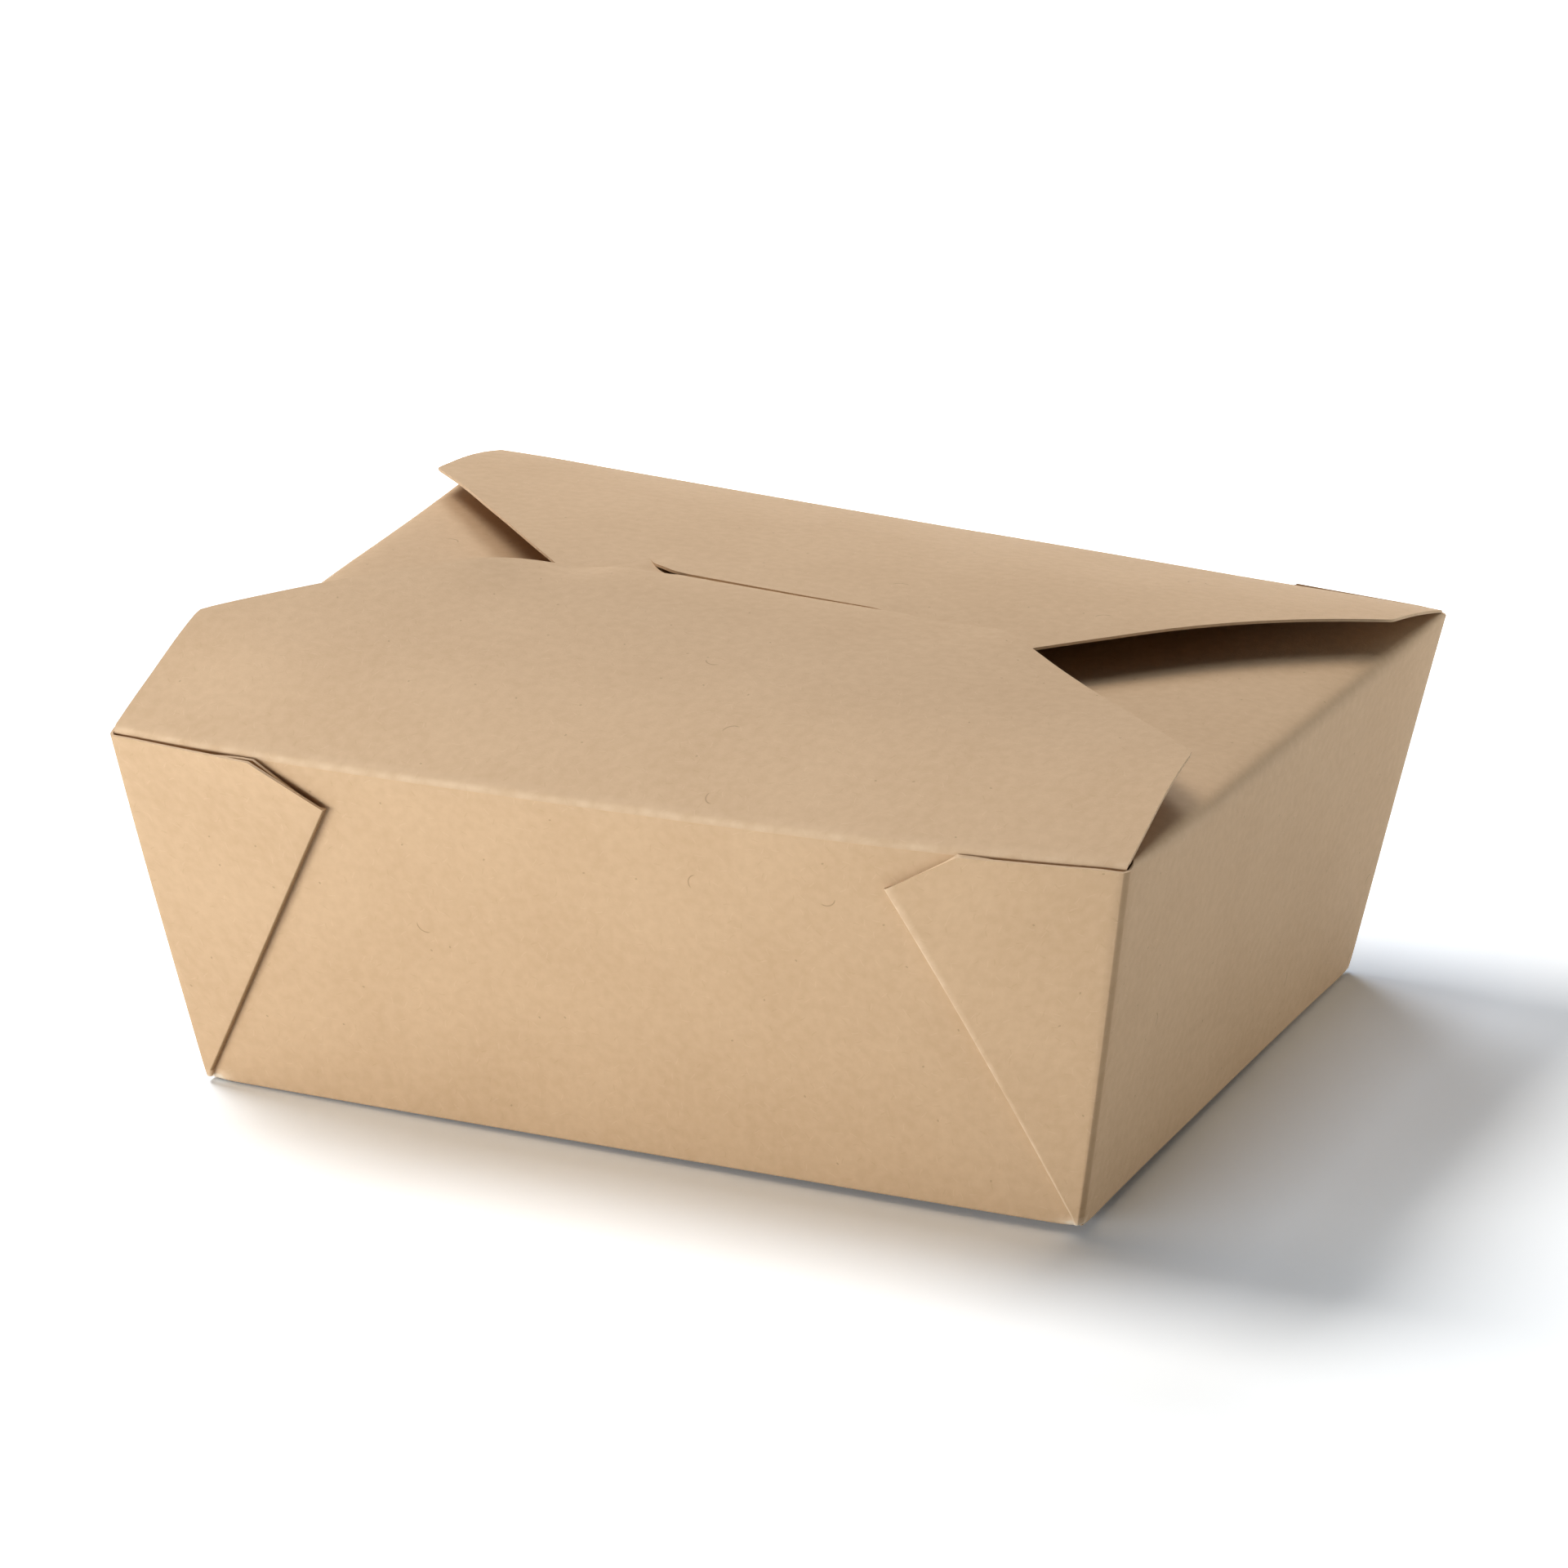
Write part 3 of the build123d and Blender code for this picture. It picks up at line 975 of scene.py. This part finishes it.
def web_corner(side, face, spring, proud, gape, mark):
    """A web corner on the side (+1 right) and face (+1 front).

    Its fold springs off the wall by up to spring, its top edge stands proud by up to proud, and the outer ply
    gapes from the under ply along the chamfer by up to gape. Mark is the fold mark along its slanted fold:
    above 0 it paints the fold pale, partly as wear and partly as a painted highlight, and below 0 it paints
    shade there.
    """
    z = wall_heights[:, None]
    x, y = web_section(z, spring, gape)
    from_corner = np.clip((end_wall_x(z) - corner_turn_out - x) / web_top_length, 0, 1)
    raised = proud * soft_step(from_corner, 0, proud_from) * (z / wall_top) ** proud_growth
    last_turn = np.concatenate([np.zeros(len(web_part) - len(return_turn)), return_turn])
    under = (web_part >= 3) * (1 + np.cos(last_turn)) / 2
    chamfered = soft_step(up_chamfer(z), drop_from, 1) * (1 - soft_step(from_corner, *drop_fade))
    points = np.stack([side * x, -face * y, z + raised - under_ply_drop * under * chamfered], -1)

    steps = np.hypot(np.diff(x, axis=1), np.diff(y, axis=1))
    run = np.concatenate([np.zeros_like(z), np.cumsum(steps, 1)], 1)
    blank_x = base_edge_x + z * math.hypot(rim_z, wall_run_x) / rim_z
    blank = np.stack([side * blank_x + 0 * run, -face * (end_wall_half(z) + run)], -1)

    folded = z[:-1] < web_fold_top - row_tolerance
    closed = folded | (web_part[1:] != 2)
    closed[:, np.argmax(web_part[1:] == 3)] = folded[:, 0]
    return patch(points, blank, web_marks(z, mark), closed)


# Side and face of each web, with its spring, proud, gape and mark: a mark above 0 paints the fold pale,
# partly as wear and partly as a painted highlight, and one below 0 paints shade along it
web_set = {
    (-1, 1): (0.55, 0.1, 0.6, -0.9),
    (1, 1): (0.2, 0.2, 0.15, 2.0),
    (-1, -1): (0.25, 0.0, 0.2, 1.4),
    (1, -1): (0.5, 0.45, 0.4, -0.4),
}
webs = [web_corner(side, face, *how) for (side, face), how in web_set.items()]
print("web corners:", [len(w[3]) for w in webs], "faces")

# %% [markdown]
# ## Corners of the base
#
# Where two creases of the base meet, the board is pushed out into a small round nub. It is a piece of a ball
# that runs from one crease to the other, and it closes the sheet there.

# %% Corner nubs and the carton's body
nub_steps = 4


def corner_nub(side, face):
    """Part of a ball at a base corner: one parameter climbs the crease, the other goes round the corner."""
    climb = np.linspace(0, base_fold_turn, arc_steps + 1)[:, None]
    round_turn = np.linspace(0, np.pi / 2, nub_steps + 1)
    out = base_fold_radius * np.sin(climb)
    wider = (end_wall_half(wall_foot) - base_edge_y) * climb / base_fold_turn
    longer = (end_wall_x(wall_foot) - wall_edge_inset - base_edge_x) * climb / base_fold_turn
    x = base_edge_x + out * np.cos(round_turn) + longer * np.sin(round_turn)
    y = base_edge_y + out * np.sin(round_turn) + wider * np.cos(round_turn)
    z = board / 2 + base_fold_radius * (1 - np.cos(climb)) + 0 * round_turn
    points = np.stack([side * x, -face * y, z], -1)
    return patch(points, points[..., :2], np.ones((arc_steps + 1, 1)))


nubs = [corner_nub(side, face) for side, face in web_set]
carton_body = make_sheet("carton_body", [strip, *back_patches, *webs, *nubs], board_finishes)
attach(carton_body, "carton")
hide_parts("carton")

# %% [markdown]
# ## Front panel
#
# The front wall and the front flap are one unbroken panel, and its rim fold is the hinge of the carton. If
# the wall rode on the carton and the flap on its own body, the fold would tear open when the flap lifts.

# %% Tab
tab_half = 20.0
tab_root_radius = 1.5
tab_bend_radius = 4.0
tab_bend = math.radians(40)
tab_straight = 10.0
tab_corner = 5.0
tab_bend_steps = 8
tab_straight_steps = 11


def tab_profile(root, goes):
    """Reach and height, and half width, of each row of the tab, from its root in the direction it starts in.

    The tab bends down in an arc and runs on straight. A quarter circle widens its root, and one rounds each
    corner of its end.
    """
    down = np.array([goes[1], -goes[0]])
    bend = np.linspace(0, tab_bend, tab_bend_steps + 1)[1:, None]
    bent = root + tab_bend_radius * (np.sin(bend) * goes + (1 - np.cos(bend)) * down)
    last = math.cos(tab_bend) * goes + math.sin(tab_bend) * down
    onward = np.linspace(0, tab_straight, tab_straight_steps + 1)[1:, None]
    run = np.concatenate([tab_bend_radius * bend[:, 0], tab_bend_radius * tab_bend + onward[:, 0]])
    from_root = np.clip(tab_root_radius - run, 0, None)
    flare = tab_root_radius - np.sqrt(tab_root_radius**2 - from_root**2)
    from_end = np.clip(tab_corner - (run[-1] - run), 0, None)
    rounding = tab_corner - np.sqrt(tab_corner**2 - from_end**2)
    return np.concatenate([bent, bent[-1] + onward * last]), tab_half + flare - rounding


print(f"the tab is {2 * tab_half:.0f} mm wide and {tab_bend_radius * tab_bend + tab_straight:.1f} mm long")

# %% Front panel
front_wing_half = rim_x - 1.7
front_middle_half = 35.8
front_slope = (front_wing_half - front_middle_half) / (fold_y - front_arc[0])
shoulder_reach = fold_y - 0.4
front_wing_steps = 19
front_middle_steps = 27
bump_stretch = 2.0
# Each bump: its place along x and outwards, its width and its height
shoulder_bumps = [(-37.0, 0.0, 5.0, -0.9), (-49.0, 8.0, 8.0, 0.8), (42.0, 3.0, 9.0, 0.5)]
corner_wear = 3.6
corner_wear_x = base_corner[0] - 1.6
corner_wear_width = 2.4
corner_wear_heights = (0.6, 2.4)


def front_panel():
    """Front wall, front flap and tab: the tab's rows keep only the middle block of columns."""
    out, z, half, fold = wall_profile(front_arc)
    to_wing = np.linspace(fold_y - out[-1], front_arc[0], front_wing_steps + 1)[1:]
    past_wing = np.linspace(front_arc[0], shoulder_reach, front_middle_steps + 1)[1:]
    reach = np.concatenate([to_wing, past_wing])
    rise = flap_height(reach, front_arc)
    flap_half = corner_narrowing(reach, front_arc[0], front_wing_half, front_slope)
    tab, tab_width = tab_profile(np.array([reach[-1], rise[-1]]), flap_direction(shoulder_reach, front_arc))

    before_tab = len(out) + len(reach)
    outward = np.concatenate([out, fold_y - reach, fold_y - tab[:, 0]])
    heights = np.concatenate([z, rim_z + rise, rim_z + tab[:, 1]])
    middle_half = np.concatenate([np.full(before_tab, tab_half + tab_root_radius), tab_width])
    x = spread(np.concatenate([half, flap_half, tab_width + 1]), middle_half)
    along = base_edge_y + path_length(np.stack([outward, heights], -1))
    outward, heights = outward[:, None], heights[:, None]
    bumps = sum(
        tall * hump(x, at_x, wide) * hump(outward, at_out, wide + bump_stretch)
        for at_x, at_out, wide, tall in shoulder_bumps
    )
    points = np.stack([x, -outward + 0 * x, heights + bumps], -1)
    blank = np.stack([x, -along[:, None] + 0 * x], -1)

    marks = np.concatenate([fold, np.zeros(len(reach) + len(tab))])[:, None]
    low_down = 1 - soft_step(heights, *corner_wear_heights)
    worn = corner_wear * hump(np.abs(x), corner_wear_x, corner_wear_width) * low_down
    keep = np.ones((len(outward) - 1, len(column) - 1), bool)
    keep[before_tab - 1:] = (np.abs(column[:-1]) <= 1) & (np.abs(column[1:]) <= 1)
    return patch(points, blank, np.maximum(marks, worn), keep)


front_sheet = make_sheet("front_panel", [front_panel()], board_finishes)
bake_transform(front_sheet)
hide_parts("front_flap")

# %% [markdown]
# ## Floor
#
# The carton stands on a plain white floor, and all round the floor the surroundings are white too. A real
# studio would burn the floor out to white with light, which would also wash out the board. Here the floor is
# paler for the camera than for the light that it throws back, so it reaches white while the carton is lit at
# a plain level, and it keeps the carton's shadow. Board throws a tan glow on the floor round it. Close to
# the carton the floor is seen bluer, which takes the glow off and leaves the shadow grey. Far from the
# carton, behind the lamps, it is seen brighter, so it stays white.

# %% Floor
floor_half = 1.2
paper_lit = (0.85, 0.85, 0.85)
paper_seen = (1.48, 1.54, 1.60)
paper_near = (1.34, 1.54, 1.80)
paper_far = (10.0, 10.0, 10.0)
glow_reach = 0.055
glow_power = 2.0
far_floor = (0.14, 1.20)
carton_foot = (base_edge_x * MM, base_edge_y * MM, 0)


def seen_directly(tree):
    """1 for what the camera sees, also in a reflection or through glass, and 0 for light that bounces."""
    path = node(tree, "ShaderNodeLightPath")
    shown = math_node(tree, "MAXIMUM", path.outputs["Is Camera Ray"], path.outputs["Is Glossy Ray"])
    return math_node(tree, "MAXIMUM", shown, path.outputs["Is Transmission Ray"])


def white_floor():
    """Matt paper whose colour, as seen, changes with the distance from the carton's foot."""
    material = bpy.data.materials.new("white_floor")
    material.use_nodes = True
    tree = material.node_tree
    tree.nodes.clear()
    place = node(tree, "ShaderNodeTexCoord").outputs["Object"]
    outside = vector_node(tree, "SUBTRACT", vector_node(tree, "ABSOLUTE", place), carton_foot)
    from_foot = vector_length(tree, vector_node(tree, "MAXIMUM", outside))
    glow = math_node(tree, "POWER", between(tree, from_foot, 0, glow_reach, 1, 0), glow_power)
    near_paper = mix_colours(tree, glow, paper_seen, paper_near)
    seen_paper = mix_colours(tree, between(tree, from_foot, *far_floor), near_paper, paper_far)
    paper = mix_colours(tree, seen_directly(tree), paper_lit, seen_paper)
    matt = node(tree, "ShaderNodeBsdfDiffuse", None, Color=paper)
    node(tree, "ShaderNodeOutputMaterial", None, Surface=matt.outputs[0])
    return material


floor_mesh = bpy.data.meshes.new("floor")
floor_corners = [(sx * floor_half, sy * floor_half, 0) for sx, sy in ((-1, -1), (1, -1), (1, 1), (-1, 1))]
floor_mesh.from_pydata(floor_corners, [], [(0, 1, 2, 3)])
floor_mesh.materials.append(white_floor())
floor = bpy.data.objects.new("floor", floor_mesh)
bpy.context.scene.collection.objects.link(floor)
print("floor", 2 * floor_half, "m across")

# %% [markdown]
# ## Light
#
# The surroundings are white to look at, but give off hardly any light. Soft lamps do the rest. Two low, wide
# strips light the walls and only skim the floor, so they leave no shadow that shows. The high lamps light the
# flaps and cast the soft shadow that sets the carton on the floor.

# %% Surroundings
sky_light = 0.02
world = bpy.data.worlds.new("studio")
world.use_nodes = True
bpy.context.scene.world = world
sky_tree = world.node_tree
sky = sky_tree.nodes["Background"]
sky.inputs["Color"].default_value = (1, 1, 1, 1)
sky_tree.links.new(between(sky_tree, seen_directly(sky_tree), 0, 1, sky_light, 1.0), sky.inputs["Strength"])
print("surroundings light the carton with", sky_light, "of their white")

# %% Lamps
carton_middle = Vector((0, 0, 0.03))


def soft_lamp(name, bearing, height, distance, wide, tall, power, colour):
    """Soft lamp that faces the carton, at a bearing from the front (right is positive) and a height angle."""
    around, over = math.radians(bearing), math.radians(height)
    level = distance * math.cos(over)
    place = Vector((level * math.sin(around), -level * math.cos(around), distance * math.sin(over)))
    lamp = bpy.data.lights.new(name, "AREA")
    lamp.shape = "RECTANGLE"
    lamp.size = wide
    lamp.size_y = tall
    lamp.energy = power
    lamp.color = colour
    made = bpy.data.objects.new(name, lamp)
    bpy.context.scene.collection.objects.link(made)
    made.location = place
    made.rotation_euler = (carton_middle - place).to_track_quat("-Z", "Y").to_euler()
    return made


lamps = [
    soft_lamp("front_strip", -24, 5, 0.6, 0.5, 0.1, 2.42, (1.0, 1.0, 0.97)),
    soft_lamp("right_strip", 122, 2, 1.0, 0.5, 0.06, 2.95, (1.0, 1.0, 0.94)),
    soft_lamp("top", 180, 82, 1.5, 0.6, 0.6, 3.6, (0.88, 0.94, 1.0)),
    soft_lamp("high_left", -95, 57, 1.5, 0.6, 0.6, 12.6, (1.0, 0.95, 0.89)),
    soft_lamp("back_left", -145, 48, 1.5, 0.5, 0.5, 4.6, (0.95, 0.97, 1.0)),
]
print("lamps", [(lamp.name, round(lamp.data.energy, 2)) for lamp in lamps])

# %% [markdown]
# ## Finish
#
# The picture is shown as it is computed, with no look laid over it.

# %% Finish
bpy.context.scene.view_settings.view_transform = "Standard"
